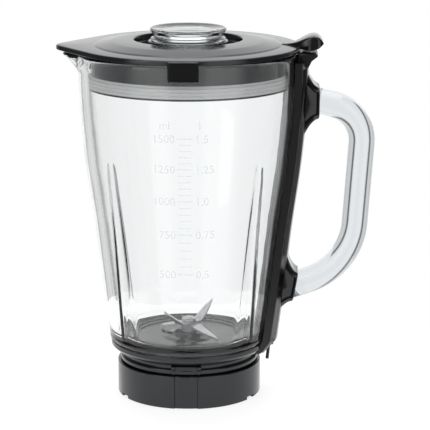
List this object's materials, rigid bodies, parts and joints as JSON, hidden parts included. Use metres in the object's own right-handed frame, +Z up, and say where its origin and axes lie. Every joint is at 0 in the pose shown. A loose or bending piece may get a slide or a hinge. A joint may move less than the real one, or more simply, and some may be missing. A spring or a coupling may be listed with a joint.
{
  "type": "blender jug",
  "caption": "Ribbed glass blender jug with a spouted lid, a clear measuring cap, a glass D-handle on a black rail, and a screw-off blade unit on a notched collar.",
  "frame": {"origin": "on the blades' axis at the locking collar's bottom edge, the surface that the jug stands on", "axes": "+Z up along the blades' axis, +X towards the handle, -X towards the pouring spout"},
  "size_m": [0.2109, 0.154, 0.247],
  "materials": {
    "jar_glass": "clear pressed soda glass, fire-polished",
    "handle_glass": "clear drawn glass bar, polished",
    "clear_plastic": "clear moulded plastic, polished",
    "black_plastic": "black moulded plastic, satin gloss",
    "seal_silicone": "translucent pale silicone, satin",
    "black_rubber": "black nitrile rubber",
    "blade_steel": "ground stainless steel",
    "screw_steel": "plain steel",
    "spring_steel": "bright spring wire",
    "bushing_bronze": "sintered bronze"
  },
  "bodies": {
    "jug": {"glass_jar": "jar_glass", "glass_handle": "handle_glass", "handle_rail": "black_plastic", "rail_cover": "black_plastic", "upper_socket": "black_plastic", "lower_socket": "black_plastic", "rail_screws": "screw_steel", "jar_base_ring": "black_plastic", "jar_gasket": "black_rubber", "interlock_spring": "spring_steel"},
    "lid": {"lid_shell": "black_plastic", "lid_seal": "seal_silicone"},
    "cap": {"measuring_cap": "clear_plastic", "cap_seal": "seal_silicone"},
    "interlock": {"interlock_rod": "black_plastic"},
    "blade_unit": {"blade_carrier": "black_plastic", "carrier_seal": "seal_silicone", "upper_bushing": "bushing_bronze", "lower_bushing": "bushing_bronze", "shaft_seal": "black_rubber"},
    "collar": {"locking_collar": "black_plastic"},
    "rotor": {"blade_shaft": "blade_steel", "upper_blade": "blade_steel", "lower_blade": "blade_steel", "blade_spacer": "blade_steel", "blade_nut": "blade_steel", "thrust_washer": "bushing_bronze", "circlip": "spring_steel", "drive_coupling": "black_plastic"}
  },
  "joints": [
    {"name": "lid_lift", "type": "slide", "parent": "jug", "child": "lid", "axis": [0, 0, 1], "range_m": [0, 0.06]},
    {"name": "cap_lift", "type": "slide", "parent": "lid", "child": "cap", "axis": [0, 0, 1], "range_m": [0, 0.04]},
    {"name": "interlock_slide", "type": "slide", "parent": "jug", "child": "interlock", "axis": [0.107, 0, 0.9943], "range_m": [0, 0.005], "deforming": ["interlock_spring"]},
    {"name": "unit_drop", "type": "slide", "parent": "jug", "child": "blade_unit", "axis": [0, 0, 1], "range_m": [-0.002, 0]},
    {"name": "collar_turn", "type": "hinge", "parent": "blade_unit", "child": "collar", "pos_m": [0, 0, 0.01], "axis": [0, 0, 1], "range_deg": [-45, 0]},
    {"name": "blade_spin", "type": "hinge", "parent": "blade_unit", "child": "rotor", "pos_m": [0, 0, 0.03], "axis": [0, 0, 1], "continuous": true}
  ],
  "couplings": [
    {"joint": "interlock_slide", "follows": "lid_lift", "ratio": 0.083333},
    {"joint": "collar_turn", "follows": "unit_drop", "rad_per_m": 392.69}
  ]
}
